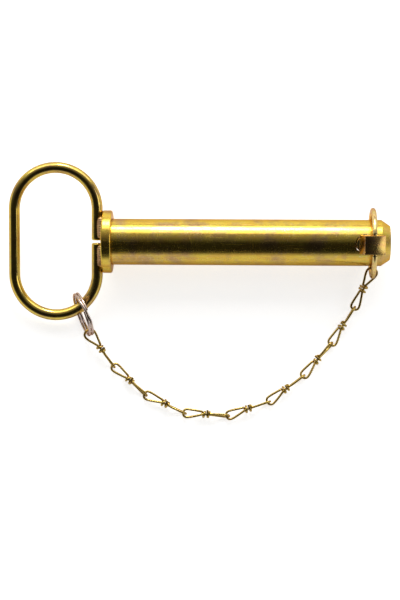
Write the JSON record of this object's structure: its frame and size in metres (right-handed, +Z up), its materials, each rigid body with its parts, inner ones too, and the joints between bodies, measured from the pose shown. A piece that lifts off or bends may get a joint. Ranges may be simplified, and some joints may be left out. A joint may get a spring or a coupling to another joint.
{
  "type": "top link pin",
  "caption": "Round hitch pin with a collar, a welded oval pull handle, and a linchpin kept by a knotted wire chain.",
  "frame": {"origin": "on the pin's axis at the collar's seating face", "axes": "+X along the pin to its tip, +Z up, with the pin lying as it comes to rest"},
  "size_m": [0.2063, 0.1368, 0.0419],
  "materials": {
    "zinc_yellow": "bright yellow zinc plate with brown and iridescent patches",
    "zinc_yellow_handle": "bright yellow zinc plate",
    "zinc_yellow_linchpin": "yellow zinc plate",
    "zinc_yellow_ring": "yellow zinc plate",
    "weld": "rough weld bead under the plate",
    "split_ring_steel": "polished nickel with a pink cast",
    "chain_wire": "dark yellow zinc on wire"
  },
  "bodies": {
    "pin": {"pin": "zinc_yellow", "handle": "zinc_yellow_handle", "handle_weld": "weld", "linchpin": "zinc_yellow_linchpin"},
    "linchpin_ring": {"linchpin_ring": "zinc_yellow_ring"},
    "link_9": {"link_9": "chain_wire"},
    "link_8": {"link_8": "chain_wire"},
    "link_7": {"link_7": "chain_wire"},
    "link_6": {"link_6": "chain_wire"},
    "link_5": {"link_5": "chain_wire"},
    "link_4": {"link_4": "chain_wire"},
    "link_3": {"link_3": "chain_wire"},
    "link_2": {"link_2": "chain_wire"},
    "link_1": {"link_1": "chain_wire"},
    "split_ring": {"split_ring": "split_ring_steel"}
  },
  "joints": [
    {"name": "ring_swing", "type": "hinge", "parent": "pin", "child": "linchpin_ring", "pos_m": [0.1406, -0.0055, 0.01923], "axis": [0, -0.9614, -0.275], "range_deg": [0, 90]},
    {"name": "link_9_turn", "type": "hinge", "parent": "linchpin_ring", "child": "link_9", "pos_m": [0.1406, -0.01522, -0.00723], "axis": [-0.1209, 0.9632, 0.24], "range_deg": [0, 33]},
    {"name": "link_8_turn", "type": "hinge", "parent": "link_9", "child": "link_8", "pos_m": [0.13149, -0.03331, -0.01385], "axis": [-0.3235, 0.933, 0.1577], "range_deg": [0, 33]},
    {"name": "link_7_turn", "type": "hinge", "parent": "link_8", "child": "link_7", "pos_m": [0.11898, -0.05309, -0.01385], "axis": [-0.543, 0.8277, -0.1418], "range_deg": [0, 33]},
    {"name": "link_6_turn", "type": "hinge", "parent": "link_7", "child": "link_6", "pos_m": [0.10379, -0.07089, -0.01385], "axis": [-0.4004, -0.7869, -0.4695], "range_deg": [0, 28]},
    {"name": "link_5_turn", "type": "hinge", "parent": "link_6", "child": "link_5", "pos_m": [0.08517, -0.08506, -0.01385], "axis": [0.8957, -0.0131, 0.4444], "range_deg": [0, 33]},
    {"name": "link_4_turn", "type": "hinge", "parent": "link_5", "child": "link_4", "pos_m": [0.0631, -0.09283, -0.01385], "axis": [0.7131, 0.4172, 0.5634], "range_deg": [0, 33]},
    {"name": "link_3_turn", "type": "hinge", "parent": "link_4", "child": "link_3", "pos_m": [0.03974, -0.09148, -0.01385], "axis": [0.4537, 0.1325, 0.8812], "range_deg": [0, 33]},
    {"name": "link_2_turn", "type": "hinge", "parent": "link_3", "child": "link_2", "pos_m": [0.01854, -0.08157, -0.01385], "axis": [-0.8673, 0.1383, 0.4783], "range_deg": [0, 22]},
    {"name": "link_1_turn", "type": "hinge", "parent": "link_2", "child": "link_1", "pos_m": [0.00095, -0.06614, -0.01385], "axis": [-0.1938, 0.1716, -0.9659], "range_deg": [0, 33]},
    {"name": "split_ring_turn", "type": "hinge", "parent": "pin", "child": "split_ring", "pos_m": [-0.01835, -0.03484, -0.00997], "axis": [-0.8329, -0.5321, -0.1522], "range_deg": [0, 3]}
  ],
  "couplings": [
    {"joint": "link_9_turn", "follows": "ring_swing", "ratio": 0.3524},
    {"joint": "link_8_turn", "follows": "ring_swing", "ratio": 0.3514},
    {"joint": "link_7_turn", "follows": "ring_swing", "ratio": 0.3504},
    {"joint": "link_6_turn", "follows": "ring_swing", "ratio": 0.2954},
    {"joint": "link_5_turn", "follows": "ring_swing", "ratio": 0.3504},
    {"joint": "link_4_turn", "follows": "ring_swing", "ratio": 0.3505},
    {"joint": "link_3_turn", "follows": "ring_swing", "ratio": 0.3502},
    {"joint": "link_2_turn", "follows": "ring_swing", "ratio": 0.2348},
    {"joint": "link_1_turn", "follows": "ring_swing", "ratio": 0.3502},
    {"joint": "split_ring_turn", "follows": "ring_swing", "ratio": 0.02}
  ]
}
